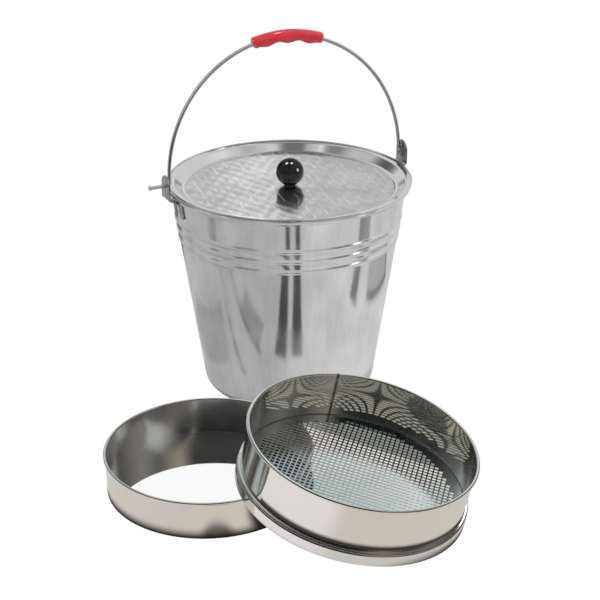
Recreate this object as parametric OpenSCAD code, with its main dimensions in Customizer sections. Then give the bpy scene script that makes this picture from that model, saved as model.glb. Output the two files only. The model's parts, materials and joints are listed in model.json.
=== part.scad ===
// Double sieve strainer: a lidded steel pail with a bail handle, a plain
// clamping ring and a perforated sieve that leans on the ring's rim.
// The origin is the centre of the pail's base on the floor, +Z is up, and -Y is the front.

/* [Pail] */
// Height of the pail to the top of its rolled rim
pail_h = 289.5; // [260:0.5:320]
// Outer radius of the wall just under the rim
pail_top_r = 155.5; // [150:0.5:165]
// Outer radius where the wall line meets the floor
pail_base_r = 114.3; // [100:0.1:120]
// Radius of the rounded corner between base and wall
pail_corner_r = 15; // [8:1:20]
// Radius of the wire rolled into the pail's rim
pail_wire_r = 2.4; // [1.5:0.1:3]
// Thickness of the pail's sheet steel
pail_t = 0.8; // [0.5:0.1:1.2]

/* [Ribs] */
// Number of stiffening ribs pressed into the wall
rib_count = 3; // [1:1:5]
// Height of the top rib's middle
rib_top_z = 244.6; // [200:0.1:250]
// Distance between ribs
rib_pitch = 14.3; // [10:0.1:20]
// How far a rib stands out of the wall
rib_lift = 1.5; // [0.5:0.1:3]
// Half the height of a rib
rib_half = 4; // [2:0.5:6]

/* [Ears and bail] */
// Turn of the ear axis about the vertical, right end towards the back
ear_turn = 26; // [0:1:45]
// Height of the bail's pivot axis
pivot_z = 305.5; // [300:0.5:315]
// Distance from the pail's axis to the middle of an ear plate
ear_x = 171.2; // [170.5:0.1:176]
// Width of an ear plate
ear_w = 27; // [18:1:32]
// Thickness of an ear plate
ear_t = 2; // [1.5:0.1:3]
// Width of the ear's riveted tab
tab_w = 22; // [18:1:24]
// Radius of the bail wire
bail_wire_r = 2.4; // [2:0.1:3]
// Distance from the pail's axis to the middle of a bail leg
bail_half = 166; // [165:0.1:167]
// Height of the arch's top above the pivot axis
bail_rise = 170.8; // [170:0.1:176]
// How far the bail leans back at rest
bail_lean = 4; // [0:1:8]
// Length of the bail's left end outside its ear
left_stub = 22; // [6:1:26]
// Length of the bail's right end outside its ear
right_stub = 5; // [4:1:20]
// Half the angle of the arch that the grip covers
grip_half_angle = 16.5; // [10:0.5:25]
// Angle of the arch by which the grip has slid to the right
grip_slid = 1.8; // [0:0.1:5]

/* [Lid] */
// Outer radius of the lid's flange
lid_r = 160.6; // [158:0.1:161]
// Radius of the lid's sunken disc
lid_disc_r = 140; // [120:1:142]
// Depth of the disc under the flange
lid_depth = 9.6; // [5:0.1:14]
// How far the loose lid sits off centre, to the right
lid_shift = 2; // [0:0.5:2]
// Thickness of the lid's sheet steel
lid_t = 0.7; // [0.5:0.1:1]
// Radius of the ball knob
knob_r = 18.3; // [12:0.1:20]

/* [Plain ring] */
// Height of the ring to the top of its rolled rim
ring_h = 48.4; // [40:0.1:60]
// Outer radius of the ring's wall
ring_wall_r = 123.4; // [110:0.1:126]
// Radius of the wire rolled into the ring's rim
ring_wire_r = 1; // [0.8:0.1:1.5]
// Middle of the ring to the right of the pail's axis
ring_x = -94.4; // [-120:0.1:-80]
// Middle of the ring behind the pail's axis
ring_y = -284.5; // [-320:0.1:-280]

/* [Sieve] */
// Height of the sieve to the top of its rolled rim
sieve_h = 73.7; // [65:0.1:80]
// Outer radius of the sieve's wall
sieve_wall_r = 132.7; // [128:0.1:133]
// Outer radius of the skirt under the perforated plate
skirt_r = 137.1; // [136.5:0.1:139]
// Height of the perforated plate's underside over the skirt's lower edge
plate_z = 14; // [9.5:0.05:15]
// Radius of the wire rolled into the sieve's rim
sieve_wire_r = 1.3; // [1:0.1:1.6]
// Tilt of the sieve, where it leans on the plain ring
sieve_tilt = 11.8; // [10.5:0.1:14]
// Heading from the ring's middle to the sieve's middle
sieve_heading = -20.4; // [-40:0.1:0]
// Thickness of the ring's and the sieve's sheet steel
sheet_t = 0.8; // [0.6:0.1:1]

/* [Perforation] */
// Distance between the middles of the square holes
hole_pitch = 6; // [5:0.1:20]
// Side of a square hole
hole_w = 4.2; // [3:0.1:12]
// Radius of the perforated zone
hole_zone_r = 121; // [90:1:122]
// Turn of the hole lattice
hole_turn = -12.8; // [-45:0.1:45]

/* [Hidden] */

// Play between pieces that touch but aren't one piece
gap = 0.05;
// Play of the wire inside a rolled rim
roll_gap = 0.1;

// Pail rim: the sheet rolls outwards over the wire
pail_roll_r = pail_wire_r + roll_gap + pail_t / 2;
pail_roll_z = pail_h - pail_roll_r - pail_t / 2;
pail_roll_x = pail_top_r - pail_t / 2 + pail_roll_r;
pail_slope = atan((pail_top_r - pail_base_r) / pail_roll_z);

// Ears
ear_bend_z = 289;
tab_top_z = 279;
tab_bottom_z = 259.5;
rivet_zs = [265, 273.5];
rivet_r = 2;
rivet_head_r = 4;
rivet_head_h = 1.2;
ear_hole_r = bail_wire_r + 0.08;

// Bail: an arc over two short legs that turn outwards through the ears
bend_r = 3.5;
arch_lift = (bail_rise * bail_rise - bail_half * bail_half) / (2 * bail_rise);
arch_r = bail_rise - arch_lift;
grip_out = 8.4;
grip_in = 8.8;
grip_side = 8.8;
ear_face_x = ear_x + ear_t / 2;
stub_head_r = 3.1;
stub_head_t = 2;

// Lid, which rests on the pail's rim
lid_z = pail_h + gap + lid_t / 2;
lid_fillet = 4;
lid_slope = 42;
lid_hem_r = 0.9;
lid_disc_top = lid_z - lid_depth + lid_t / 2;
lid_disc_under = lid_disc_top - lid_t;

// Knob
knob_flat_r = 8;
knob_flat_z = lid_disc_top + 1.5;
knob_z = knob_flat_z + sqrt(knob_r * knob_r - knob_flat_r * knob_flat_r);
insert_r = 3.6;
insert_h = 12;
screw_r = 2;
screw_hole_r = screw_r + gap;
washer_t = 1;

// Rolled rims of the ring and the sieve
ring_roll_r = ring_wire_r + gap + sheet_t / 2;
ring_roll_x = ring_wall_r - sheet_t / 2 + ring_roll_r;
ring_roll_z = ring_h - ring_roll_r - sheet_t / 2;
sieve_roll_r = sieve_wire_r + gap + sheet_t / 2;
sieve_roll_x = sieve_wall_r - sheet_t / 2 + sieve_roll_r;
sieve_roll_z = sieve_h - sieve_roll_r - sheet_t / 2;

// Foot of the sieve: skirt flange, plate and wall foot lie on each other inside the seam ring
foot_fillet = 1.2;
foot_reach = 2.4;
foot_r = sieve_wall_r - sheet_t / 2 + foot_reach;
foot_z = plate_z + sheet_t + gap + sheet_t / 2;
seam_in_r = foot_r + 3 * gap;
seam_half = sheet_t + gap + 0.4;
seam_z = plate_z + seam_half;
skirt_fillet = 2.2;
skirt_flange_z = plate_z - gap - sheet_t / 2;
skirt_flange_r = 125.5;

// The sieve stands on the floor at one point and on the ring's rim at two, all on its skirt's lower edge
lean_gap = 0.12;
lean_cos = 1 - (ring_h + lean_gap) / (skirt_r * sin(sieve_tilt));
lean_sin = sqrt(1 - lean_cos * lean_cos);
sieve_distance = sqrt(pow(ring_roll_x, 2) - pow(skirt_r * lean_sin, 2)) - skirt_r * cos(sieve_tilt) * lean_cos;

function unit(v) = v / norm(v);
function across(v) = [-v.y, v.x];

// Mitred normal of the path p at its point i
function path_normal(p, i) =
    let (a = max(i, 1), b = min(i, len(p) - 2))
    let (n1 = across(unit(p[a] - p[a - 1])), n2 = across(unit(p[b + 1] - p[b])))
    (n1 + n2) / (1 + n1 * n2);

// Outline of a sheet of thickness t whose middle line is the path p
function sheet_outline(p, t) = concat(
    [for (i = [0:len(p) - 1]) p[i] + path_normal(p, i) * t / 2],
    [for (i = [len(p) - 1:-1:0]) p[i] - path_normal(p, i) * t / 2]);

// n + 1 points on an arc about c from angle a0 to angle a1
function arc(c, r, a0, a1, n) =
    [for (i = [0:n]) c + r * [cos(a0 + (a1 - a0) * i / n), sin(a0 + (a1 - a0) * i / n)]];

// A rim that rolls outwards and down from a wall on its inner side
function rolled_rim(c, r) = arc(c, r, 180, -110, 16);

// Outer radius of the pail's plain wall at height z
function pail_r(z) = pail_base_r + (pail_top_r - pail_base_r) * z / pail_roll_z;

// A point of the wall's middle line beside rib k, at u half-heights from the rib's middle
function rib_point(k, u) =
    let (z = rib_top_z - k * rib_pitch + u * rib_half)
    [pail_r(z) - pail_t / 2 + rib_lift * (1 + cos(180 * u)) / 2, z];

module spun_sheet(p, t) {
    rotate_extrude($fn = 180)
        polygon(sheet_outline(p, t));
}

module ring_wire(x, z, r) {
    rotate_extrude($fn = 180)
        translate([x, z])
            circle(r = r, $fn = 32);
}

module pail_shell() {
    corner_z = pail_corner_r + pail_t / 2;
    corner_x = pail_base_r - pail_t / 2
        + (corner_z * sin(pail_slope) - pail_corner_r) / cos(pail_slope);
    ribs = [for (k = [rib_count - 1:-1:0]) for (u = [-1:0.25:1]) rib_point(k, u)];
    path = concat(
        [[0, pail_t / 2]],
        arc([corner_x, corner_z], pail_corner_r, -90, -pail_slope, 8),
        ribs,
        rolled_rim([pail_roll_x, pail_roll_z], pail_roll_r));
    color("silver")
        difference() {
            spun_sheet(path, pail_t);
            for (side = [0, 180])
                ear_place(side)
                    rivet_axes()
                        cylinder(r = rivet_r + gap, h = 20, center = true, $fn = 32);
        }
}

module pail_rim_wire() {
    color("gray") ring_wire(pail_roll_x, pail_roll_z, pail_wire_r);
}

// Puts a piece drawn for the right side on the side that is turned by the given angle
module ear_place(side) {
    rotate([0, 0, ear_turn + side])
        children();
}

// The axes of an ear's two rivets, square to the sloping wall, with +Z pointing out of the pail
module rivet_axes() {
    for (z = rivet_zs)
        translate([pail_r(z), 0, z])
            rotate([0, 90 + pail_slope, 0])
                children();
}

module ear_silhouette() {
    translate([0, pivot_z])
        circle(r = ear_w / 2, $fn = 64);
    translate([-ear_w / 2, ear_bend_z - 3])
        square([ear_w, pivot_z - ear_bend_z + 3]);
    polygon([
        [-ear_w / 2, ear_bend_z - 3],
        [-tab_w / 2, tab_top_z],
        [-tab_w / 2, tab_bottom_z + 3],
        [-tab_w / 2 + 3, tab_bottom_z],
        [tab_w / 2 - 3, tab_bottom_z],
        [tab_w / 2, tab_bottom_z + 3],
        [tab_w / 2, tab_top_z],
        [ear_w / 2, ear_bend_z - 3]]);
}

module ear() {
    stand_off = gap + ear_t / 2 / cos(pail_slope);
    path = [
        [pail_r(tab_bottom_z - 1) + stand_off, tab_bottom_z - 1],
        [pail_r(tab_top_z) + stand_off, tab_top_z],
        [ear_x, ear_bend_z],
        [ear_x, pivot_z + ear_w]];
    color("lightgray")
        difference() {
            intersection() {
                rotate([90, 0, 0])
                    linear_extrude(ear_w + 2, center = true)
                        polygon(sheet_outline(path, ear_t));
                translate([140, 0, 0])
                    rotate([90, 0, 90])
                        linear_extrude(50)
                            ear_silhouette();
            }
            translate([ear_x, 0, pivot_z])
                rotate([0, 90, 0])
                    cylinder(r = ear_hole_r, h = 3 * ear_t, center = true, $fn = 48);
            rivet_axes()
                cylinder(r = rivet_r + gap, h = 20, center = true, $fn = 32);
        }
}

module left_ear() {
    ear_place(180) ear();
}

module right_ear() {
    ear_place(0) ear();
}

// One rivet: its outer head on the tab, its shank and its set head inside the pail
module rivet() {
    outer_z = ear_t + 3 * gap;
    inner_z = -pail_t - 3 * gap;
    translate([0, 0, outer_z])
        cylinder(r1 = rivet_head_r, r2 = rivet_head_r * 0.6, h = rivet_head_h, $fn = 32);
    translate([0, 0, inner_z - rivet_head_h])
        cylinder(r = rivet_r, h = outer_z - inner_z + rivet_head_h + 0.2, $fn = 32);
    translate([0, 0, inner_z - rivet_head_h])
        cylinder(r = rivet_head_r * 0.8, h = rivet_head_h, $fn = 32);
}

module left_ear_rivets() {
    color("gainsboro") ear_place(180) rivet_axes() rivet();
}

module right_ear_rivets() {
    color("gainsboro") ear_place(0) rivet_axes() rivet();
}

// Puts a piece drawn in the XZ plane about the pivot axis in the bail's resting place
module bail_place() {
    translate([0, 0, pivot_z])
        rotate([0, 0, ear_turn])
            rotate([-bail_lean, 0, 0])
                children();
}

// A leg on the right: a short upright, a tight bend, and the end that turns in the ear's hole
module bail_leg(stub) {
    stub_end_x = ear_face_x + stub;
    translate([bail_half, 0, bend_r])
        cylinder(r = bail_wire_r, h = arch_lift - bend_r, $fn = 48);
    translate([bail_half + bend_r, 0, bend_r])
        rotate([90, 0, 0])
            rotate([0, 0, 180])
                rotate_extrude(angle = 90, $fn = 96)
                    translate([bend_r, 0])
                        circle(r = bail_wire_r, $fn = 48);
    translate([bail_half + bend_r, 0, 0])
        rotate([0, 90, 0])
            cylinder(r = bail_wire_r, h = stub_end_x - bail_half - bend_r, $fn = 48);
    translate([stub_end_x - stub_head_t, 0, 0])
        rotate([0, 90, 0])
            cylinder(r = stub_head_r, h = stub_head_t, $fn = 48);
}

module bail_wire() {
    color("silver")
        bail_place() {
            translate([0, 0, arch_lift])
                rotate([90, 0, 0])
                    rotate_extrude(angle = 180, $fn = 180)
                        translate([arch_r, 0])
                            circle(r = bail_wire_r, $fn = 48);
            bail_leg(right_stub);
            mirror([1, 0, 0]) bail_leg(left_stub);
        }
}

module bail_grip() {
    section = [for (a = [0:15:345]) [(cos(a) > 0 ? grip_out : grip_in) * cos(a), grip_side * sin(a)]];
    color("crimson")
        bail_place()
            translate([0, 0, arch_lift])
                rotate([90, 0, 0])
                    rotate([0, 0, 90 - grip_half_angle - grip_slid])
                        rotate_extrude(angle = 2 * grip_half_angle, $fn = 180)
                            translate([arch_r, 0])
                                difference() {
                                    polygon(section);
                                    circle(r = bail_wire_r + gap, $fn = 48);
                                }
}

module lid_pan() {
    disc_z = lid_z - lid_depth;
    rise = lid_depth - 2 * lid_fillet * (1 - cos(lid_slope));
    flange_in = lid_disc_r + 2 * lid_fillet * sin(lid_slope) + rise / tan(lid_slope);
    path = concat(
        [[0, disc_z]],
        arc([lid_disc_r, disc_z + lid_fillet], lid_fillet, -90, lid_slope - 90, 5),
        arc([flange_in, lid_z - lid_fillet], lid_fillet, 90 + lid_slope, 90, 5),
        arc([lid_r - lid_hem_r - lid_t / 2, lid_z + lid_hem_r], lid_hem_r, -90, 100, 8));
    color("silver")
        translate([lid_shift, 0, 0])
            difference() {
                spun_sheet(path, lid_t);
                cylinder(r = screw_hole_r, h = 2 * pail_h, $fn = 32);
            }
}

module lid_knob() {
    color([0.08, 0.08, 0.08])
        translate([lid_shift, 0, 0])
            difference() {
                translate([0, 0, knob_z])
                    sphere(r = knob_r, $fn = 96);
                translate([0, 0, knob_flat_z - 10])
                    cylinder(r = knob_r, h = 10, $fn = 48);
                translate([0, 0, knob_flat_z - 1])
                    cylinder(r = insert_r, h = insert_h + 1, $fn = 48);
            }
}

module knob_insert() {
    color("goldenrod")
        translate([lid_shift, 0, knob_flat_z])
            difference() {
                cylinder(r = insert_r - gap, h = insert_h - gap, $fn = 48);
                translate([0, 0, -1])
                    cylinder(r = screw_hole_r, h = insert_h - 1, $fn = 32);
            }
}

module knob_collar() {
    color([0.15, 0.15, 0.15])
        translate([lid_shift, 0, lid_disc_top + gap])
            difference() {
                cylinder(r = knob_flat_r - 0.5, h = knob_flat_z - lid_disc_top - 2 * gap, $fn = 64);
                translate([0, 0, -1])
                    cylinder(r = screw_hole_r, h = 10, $fn = 32);
            }
}

module knob_screw() {
    head_top = lid_disc_under - washer_t - 2 * gap;
    color("lightgray")
        translate([lid_shift, 0, 0]) {
            translate([0, 0, head_top - 2.6])
                cylinder(r = 4, h = 2.6, $fn = 48);
            translate([0, 0, head_top - 0.5])
                cylinder(r = screw_r, h = knob_flat_z + insert_h - 4 - head_top, $fn = 32);
        }
}

module knob_washer() {
    color("gray")
        translate([lid_shift, 0, lid_disc_under - washer_t - gap])
            difference() {
                cylinder(r = 6, h = washer_t, $fn = 48);
                translate([0, 0, -1])
                    cylinder(r = screw_hole_r, h = washer_t + 2, $fn = 32);
            }
}

module ring_band() {
    path = concat(
        [[ring_wall_r - sheet_t / 2, 0]],
        rolled_rim([ring_roll_x, ring_roll_z], ring_roll_r));
    color("tan")
        translate([ring_x, ring_y, 0])
            spun_sheet(path, sheet_t);
}

module ring_rim_wire() {
    color("gray")
        translate([ring_x, ring_y, 0])
            ring_wire(ring_roll_x, ring_roll_z, ring_wire_r);
}

// Puts a piece drawn upright about the Z axis where the sieve leans on the ring
module sieve_place() {
    translate([ring_x, ring_y, skirt_r * sin(sieve_tilt)])
        rotate([0, 0, sieve_heading])
            translate([sieve_distance, 0, 0])
                rotate([0, sieve_tilt, 0])
                    rotate([0, 0, -sieve_heading])
                        children();
}

module sieve_wall() {
    path = concat(
        [[foot_r, foot_z]],
        arc([foot_r - foot_reach + foot_fillet, foot_z + foot_fillet], foot_fillet, -90, -180, 6),
        rolled_rim([sieve_roll_x, sieve_roll_z], sieve_roll_r));
    color("wheat") sieve_place() spun_sheet(path, sheet_t);
}

module sieve_rim_wire() {
    color("gray") sieve_place() ring_wire(sieve_roll_x, sieve_roll_z, sieve_wire_r);
}

module perforated_plate() {
    reach = floor(hole_zone_r / hole_pitch);
    color("lightsteelblue")
        sieve_place()
            translate([0, 0, plate_z])
                rotate([0, 0, hole_turn])
                    linear_extrude(sheet_t)
                        difference() {
                            circle(r = foot_r - gap, $fn = 180);
                            for (i = [-reach:reach], j = [-reach:reach])
                                if (norm([i, j]) * hole_pitch + hole_w * 0.7 < hole_zone_r)
                                    translate([i * hole_pitch, j * hole_pitch])
                                        square(hole_w, center = true);
                        }
}

module seam_ring() {
    path = concat(
        [[seam_in_r, seam_z + seam_half]],
        arc([seam_in_r + 0.3, seam_z], seam_half, 90, -90, 12),
        [[seam_in_r, seam_z - seam_half]]);
    color("white") sieve_place() rotate_extrude($fn = 180) polygon(path);
}

module skirt_ring() {
    path = concat(
        [[skirt_r - sheet_t / 2, 0]],
        arc([skirt_r - sheet_t / 2 - skirt_fillet, skirt_flange_z - skirt_fillet], skirt_fillet, 0, 90, 6),
        [[skirt_flange_r, skirt_flange_z]]);
    color("wheat") sieve_place() spun_sheet(path, sheet_t);
}

pail_shell();
pail_rim_wire();
left_ear();
right_ear();
left_ear_rivets();
right_ear_rivets();
bail_wire();
bail_grip();
lid_pan();
lid_knob();
knob_insert();
knob_collar();
knob_screw();
knob_washer();
ring_band();
ring_rim_wire();
sieve_wall();
sieve_rim_wire();
perforated_plate();
seam_ring();
skirt_ring();
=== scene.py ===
"""Sieve strainer set: a lidded steel pail with a bail, a plain ring and a perforated sieve leaning on it.

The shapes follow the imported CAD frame, in metres. Angles are in degrees.
"""

import json
import math

import bmesh
import bpy
from mathutils import Matrix, Vector
from mathutils.geometry import tessellate_polygon


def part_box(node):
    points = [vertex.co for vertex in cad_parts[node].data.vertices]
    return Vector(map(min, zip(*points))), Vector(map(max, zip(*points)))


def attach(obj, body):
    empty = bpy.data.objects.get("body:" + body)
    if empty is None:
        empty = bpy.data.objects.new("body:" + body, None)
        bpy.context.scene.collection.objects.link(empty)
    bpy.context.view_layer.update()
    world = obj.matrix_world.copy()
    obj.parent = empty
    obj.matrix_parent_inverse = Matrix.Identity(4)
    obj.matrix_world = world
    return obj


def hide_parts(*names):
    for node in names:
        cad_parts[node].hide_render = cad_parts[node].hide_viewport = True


MM = 0.001

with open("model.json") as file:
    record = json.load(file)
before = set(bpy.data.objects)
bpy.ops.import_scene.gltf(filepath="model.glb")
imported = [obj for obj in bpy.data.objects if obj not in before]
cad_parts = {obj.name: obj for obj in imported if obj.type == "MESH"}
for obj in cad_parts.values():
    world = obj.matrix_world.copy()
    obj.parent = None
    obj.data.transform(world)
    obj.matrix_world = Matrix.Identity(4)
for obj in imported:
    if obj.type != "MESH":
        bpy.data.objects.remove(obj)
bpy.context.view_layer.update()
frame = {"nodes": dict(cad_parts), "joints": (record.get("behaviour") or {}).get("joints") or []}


# -------------------- sizes, some read from the frame

def size(node):
    """The width, depth and height of a CAD node."""
    low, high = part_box(node)
    return high - low


def middle(node):
    """The middle of a CAD node's box."""
    low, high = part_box(node)
    return (low + high) / 2


def joint(name):
    """The record's joint of that name."""
    return next(j for j in frame["joints"] if j["name"] == name)


SHEET = 0.8 * MM
SEGMENTS = 256

# Pail
PAIL_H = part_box("pail_shell")[1].z
PAIL_RIM_R = size("pail_shell").x / 2
PAIL_WIRE_R = size("pail_rim_wire").z / 2
PAIL_ROLL_R = PAIL_WIRE_R + 0.1 * MM + SHEET / 2
PAIL_ROLL_Z = PAIL_H - PAIL_ROLL_R - SHEET / 2
PAIL_ROLL_X = PAIL_RIM_R - PAIL_ROLL_R - SHEET / 2
PAIL_TOP_R = PAIL_ROLL_X - PAIL_ROLL_R + SHEET / 2
PAIL_BASE_R = 114.3 * MM
PAIL_CORNER_R = 15 * MM
PAIL_SLOPE = math.degrees(math.atan((PAIL_TOP_R - PAIL_BASE_R) / PAIL_ROLL_Z))
RIB_COUNT = 3
RIB_TOP_Z = 244.6 * MM
RIB_PITCH = 14.3 * MM
RIB_LIFT = 1.5 * MM
RIB_HALF = 4 * MM

# Ears and bail
PIVOT = Vector(joint("bail_swing")["pos_m"])
PIVOT_AXIS = Vector(joint("bail_swing")["axis"]).normalized()
EAR_TURN = math.degrees(math.atan2(PIVOT_AXIS.y, PIVOT_AXIS.x))
EAR_X = 171.2 * MM
EAR_W = 27 * MM
EAR_T = 2 * MM
EAR_TAB_W = 22 * MM
EAR_BEND_Z = 289 * MM
EAR_TAB_TOP = 279 * MM
EAR_TAB_BOTTOM = 259.5 * MM
EAR_TAB_CORNER = 3 * MM
EAR_STAMP_FROM = 140 * MM
EAR_STAMP_TO = 190 * MM
EAR_HOLE_R = 2.48 * MM
RIVET_ZS = (265 * MM, 273.5 * MM)
RIVET_HEAD_R = 4 * MM
RIVET_HEAD_H = 1.2 * MM
RIVET_SHANK_R = 2 * MM
RIVET_CLEARANCE = 0.15 * MM
BAIL_WIRE_R = 2.4 * MM
BAIL_HALF = 166 * MM
BAIL_RISE = 170.8 * MM
BAIL_LEAN = 4
BAIL_BEND_R = 3.5 * MM
BAIL_LEFT_END = EAR_X + EAR_T / 2 + 22 * MM
BAIL_RIGHT_END = EAR_X + EAR_T / 2 + 5 * MM
STUB_HEAD_R = 3.1 * MM
ARCH_LIFT = (BAIL_RISE ** 2 - BAIL_HALF ** 2) / (2 * BAIL_RISE)
ARCH_R = BAIL_RISE - ARCH_LIFT
GRIP_HALF_ANGLE = 16.5
GRIP_SLID = 1.8
GRIP_OUT = 8.4 * MM
GRIP_IN = 8.8 * MM
GRIP_SIDE = 8.8 * MM
SCALLOP_DEPTH = 2.8 * MM
SCALLOP_PITCH = 0.315
SCALLOP_SHIFT = 0.03

# Lid and knob
LID_MIDDLE = Vector((middle("lid_pan").x, middle("lid_pan").y, 0))
LID_R = size("lid_pan").x / 2
LID_T = 0.7 * MM
LID_Z = PAIL_H + 0.05 * MM + LID_T / 2
LID_DISC_R = 140 * MM
LID_DEPTH = 9.6 * MM
LID_FILLET = 4 * MM
LID_SLOPE = 42
LID_HEM_R = 0.9 * MM
KNOB_R = size("lid_knob").x / 2
KNOB_FLAT_R = 8 * MM
KNOB_FLAT_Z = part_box("lid_knob")[0].z
KNOB_BORE_R = 2.1 * MM
KNOB_Z = KNOB_FLAT_Z + math.sqrt(KNOB_R ** 2 - KNOB_FLAT_R ** 2)

# Plain ring
RING_MIDDLE = Vector((middle("ring_band").x, middle("ring_band").y, 0))
RING_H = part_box("ring_band")[1].z
RING_WIRE_R = size("ring_rim_wire").z / 2
RING_ROLL_R = RING_WIRE_R + 0.05 * MM + SHEET / 2
RING_ROLL_X = size("ring_band").x / 2 - RING_ROLL_R - SHEET / 2
RING_ROLL_Z = RING_H - RING_ROLL_R - SHEET / 2
RING_WALL_R = RING_ROLL_X - RING_ROLL_R + SHEET / 2

# Sieve
SIEVE_TILT = 11.8
RING_WAY = joint("ring_slide")["axis"]
SIEVE_HEADING = math.degrees(math.atan2(-RING_WAY[1], -RING_WAY[0]))
SIEVE_H = 73.7 * MM
SIEVE_WALL_R = 132.7 * MM
SIEVE_WIRE_R = 1.3 * MM
SIEVE_ROLL_R = SIEVE_WIRE_R + 0.05 * MM + SHEET / 2
SIEVE_ROLL_X = SIEVE_WALL_R - SHEET / 2 + SIEVE_ROLL_R
SIEVE_ROLL_Z = SIEVE_H - SIEVE_ROLL_R - SHEET / 2
PLATE_Z = 14 * MM
SKIRT_R = 137.1 * MM
SKIRT_FILLET = 2.2 * MM
SKIRT_FLANGE_Z = PLATE_Z - 0.05 * MM - SHEET / 2
SKIRT_FLANGE_R = 125.5 * MM
FOOT_FILLET = 1.2 * MM
FOOT_REACH = 2.4 * MM
FOOT_R = SIEVE_WALL_R - SHEET / 2 + FOOT_REACH
FOOT_Z = PLATE_Z + SHEET + 0.05 * MM + SHEET / 2
SEAM_HALF = 1.25 * MM
HOLE_PITCH = 6 * MM
HOLE_W = 4.2 * MM
HOLE_ZONE_R = 121 * MM
HOLE_TURN = -12.8


def turn(axis, angle):
    """A rotation about a coordinate axis by an angle in degrees."""
    return Matrix.Rotation(math.radians(angle), 4, axis)


SIEVE_TURN = turn("Z", SIEVE_HEADING) @ turn("Y", SIEVE_TILT) @ turn("Z", -SIEVE_HEADING)
SIEVE_AXIS = SIEVE_TURN.to_3x3() @ Vector((0, 0, 1))
SIEVE_BASE = middle("perforated_plate") - SIEVE_AXIS * (PLATE_Z + SHEET / 2)
SIEVE_PLACE = Matrix.Translation(SIEVE_BASE) @ SIEVE_TURN


# -------------------- outlines

def arc(centre, radius, start, end, steps):
    """Points on an arc about a centre, from one angle to another."""
    points = []
    for i in range(steps + 1):
        a = math.radians(start + (end - start) * i / steps)
        points.append(Vector((centre[0] + radius * math.cos(a), centre[1] + radius * math.sin(a))))
    return points


def rolled_rim(centre, radius):
    """The middle line of a rim that rolls outwards and down from a wall on its inner side."""
    return arc(centre, radius, 180, -110, 24)


def sheet_outline(path, thickness):
    """The closed outline of a sheet whose middle line is the path."""
    path = [Vector(p) for p in path]
    left, right = [], []
    for i, point in enumerate(path):
        a = max(i, 1)
        b = min(i, len(path) - 2)
        along_a = (path[a] - path[a - 1]).normalized()
        along_b = (path[b + 1] - path[b]).normalized()
        normal_a = Vector((-along_a.y, along_a.x))
        normal_b = Vector((-along_b.y, along_b.x))
        normal = (normal_a + normal_b) / (1 + normal_a.dot(normal_b))
        left.append(point + normal * thickness / 2)
        right.append(point - normal * thickness / 2)
    return left + right[::-1]


def superellipse(angle, right, left, side, power):
    """A point of a rounded section: right and left are its half widths, side is its half height."""
    c = math.cos(angle)
    s = math.sin(angle)
    reach = right if c > 0 else left
    x = reach * math.copysign(abs(c) ** (2 / power), c)
    y = side * math.copysign(abs(s) ** (2 / power), s)
    return Vector((x, y))


# -------------------- meshes

def smooth_faces(mesh, sharp):
    """Smooth faces, with sharp edges where they meet at more than an angle."""
    mesh.polygons.foreach_set("use_smooth", [True] * len(mesh.polygons))
    mesh.set_sharp_from_angle(angle=math.radians(sharp))


def new_object(name, vertices, faces, sharp=35):
    """A mesh object whose faces are smooth up to a sharp angle."""
    mesh = bpy.data.meshes.new(name)
    mesh.from_pydata([tuple(v) for v in vertices], [], faces)
    mesh.validate()
    work = bmesh.new()
    work.from_mesh(mesh)
    bmesh.ops.recalc_face_normals(work, faces=work.faces)
    work.to_mesh(mesh)
    work.free()
    smooth_faces(mesh, sharp)
    obj = bpy.data.objects.new(name, mesh)
    bpy.context.scene.collection.objects.link(obj)
    return obj


def lathe_parts(outline, segments):
    """Vertices and faces of a closed outline of (radius, height) points spun about the Z axis."""
    vertices, faces, rows = [], [], []
    for radius, height in outline:
        first = len(vertices)
        if radius < 1e-6:
            vertices.append((0, 0, height))
            rows.append([first] * segments)
            continue
        for k in range(segments):
            a = 2 * math.pi * k / segments
            vertices.append((radius * math.cos(a), radius * math.sin(a), height))
        rows.append(list(range(first, first + segments)))
    for i, row in enumerate(rows):
        after = rows[(i + 1) % len(rows)]
        for k in range(segments):
            m = (k + 1) % segments
            face = []
            for corner in (row[k], row[m], after[m], after[k]):
                if corner not in face:
                    face.append(corner)
            if len(face) > 2:
                faces.append(face)
    return vertices, faces


def lathe(name, outline, segments=SEGMENTS):
    """A closed outline of (radius, height) points spun about the Z axis."""
    vertices, faces = lathe_parts(outline, segments)
    return new_object(name, vertices, faces)


def sweep(name, points, sections, sharp=40):
    """Sections of (across, side) points swept along points in the XZ plane."""
    vertices, faces = [], []
    count = len(sections[0])
    for i, point in enumerate(points):
        along = (points[min(i + 1, len(points) - 1)] - points[max(i - 1, 0)]).normalized()
        outwards = Vector((-along.y, along.x))
        for across, side in sections[i]:
            spot = point + outwards * across
            vertices.append((spot.x, side, spot.y))
    for i in range(len(points) - 1):
        for k in range(count):
            m = (k + 1) % count
            faces.append((i * count + k, i * count + m, (i + 1) * count + m, (i + 1) * count + k))
    faces.append(list(range(count)))
    faces.append([len(vertices) - count + k for k in range(count)])
    return new_object(name, vertices, faces, sharp)


def thicken(name, points, faces, low, high):
    """A flat sheet of faces given a thickness from the low to the high Z value."""
    count = len(points)
    vertices = [(p[0], p[1], high) for p in points] + [(p[0], p[1], low) for p in points]
    solid = [list(f) for f in faces] + [[i + count for i in reversed(f)] for f in faces]
    edges = {}
    for f in faces:
        for k, a in enumerate(f):
            b = f[(k + 1) % len(f)]
            edges.setdefault((min(a, b), max(a, b)), []).append((a, b))
    for uses in edges.values():
        if len(uses) == 1:
            a, b = uses[0]
            solid.append([b, a, a + count, b + count])
    return new_object(name, vertices, solid)


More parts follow.
